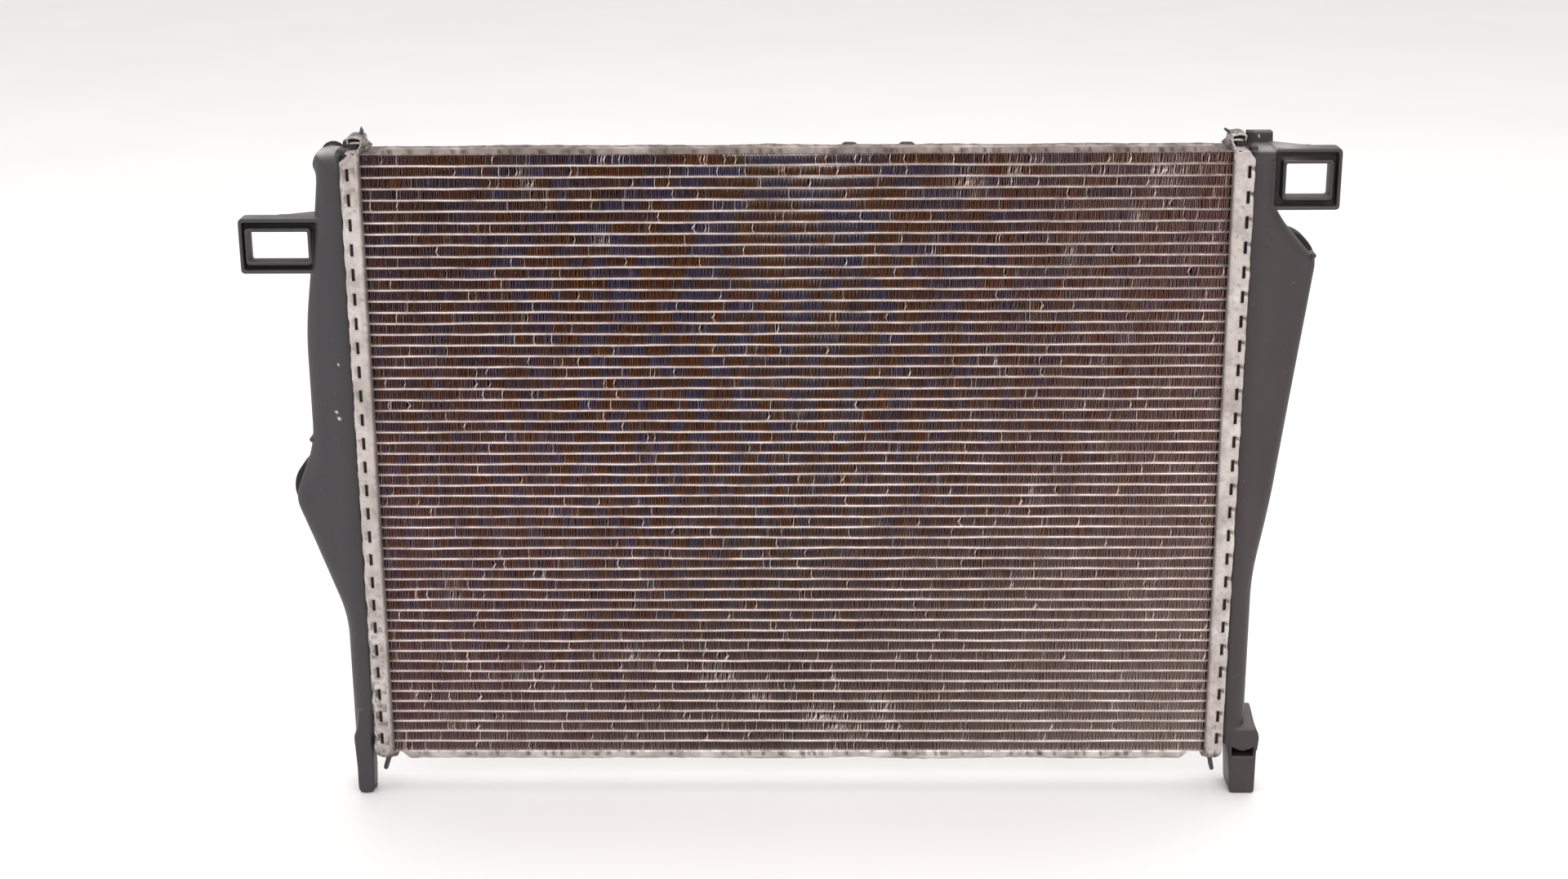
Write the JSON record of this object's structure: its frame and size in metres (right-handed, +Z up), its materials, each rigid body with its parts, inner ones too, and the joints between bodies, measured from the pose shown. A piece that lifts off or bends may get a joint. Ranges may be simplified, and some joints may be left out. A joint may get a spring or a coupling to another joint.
{
  "type": "car radiator",
  "caption": "Crossflow car radiator: brazed aluminium tube and fin core with a crimped plastic tank, loop bracket, foot and rear coolant port on each side.",
  "frame": {"origin": "middle of the bounding box's footprint, on the surface that the two feet stand on", "axes": "+X to the right seen from the front, +Y towards the back, where the coolant ports point, +Z up"},
  "size_m": [0.7634, 0.084, 0.4975],
  "materials": {
    "tube_aluminium": "satin, dusty",
    "fin_aluminium": "matte, dirty",
    "header_aluminium": "satin, stained",
    "side_plate_aluminium": "satin, stained",
    "tank_plastic": "moulded, dusty",
    "plug_plastic": "moulded",
    "gasket_rubber": "matte"
  },
  "bodies": {
    "radiator": {"tube_bank_1": "tube_aluminium", "tube_bank_2": "tube_aluminium", "tube_bank_3": "tube_aluminium", "tube_bank_4": "tube_aluminium", "tube_bank_5": "tube_aluminium", "tube_bank_6": "tube_aluminium", "tube_bank_7": "tube_aluminium", "tube_bank_8": "tube_aluminium", "tube_bank_9": "tube_aluminium", "tube_bank_10": "tube_aluminium", "tube_bank_11": "tube_aluminium", "fin_bank_1": "fin_aluminium", "fin_bank_2": "fin_aluminium", "fin_bank_3": "fin_aluminium", "fin_bank_4": "fin_aluminium", "fin_bank_5": "fin_aluminium", "fin_bank_6": "fin_aluminium", "fin_bank_7": "fin_aluminium", "fin_bank_8": "fin_aluminium", "fin_bank_9": "fin_aluminium", "fin_bank_10": "fin_aluminium", "fin_bank_11": "fin_aluminium", "fin_bank_12": "fin_aluminium", "fin_bank_13": "fin_aluminium", "fin_bank_14": "fin_aluminium", "header_left": "header_aluminium", "header_right": "header_aluminium", "side_plate_top": "side_plate_aluminium", "side_plate_bottom": "side_plate_aluminium", "gasket_left": "gasket_rubber", "gasket_right": "gasket_rubber", "tank_left": "tank_plastic", "tank_right": "tank_plastic", "drain_seal": "gasket_rubber"},
    "drain_plug": {"drain_plug": "plug_plastic"}
  },
  "joints": [
    {"name": "drain_plug_turn", "type": "hinge", "parent": "radiator", "child": "drain_plug", "pos_m": [-0.31615, 0.007, 0.0717], "axis": [0, 1, 0], "range_deg": [0, 90]}
  ]
}
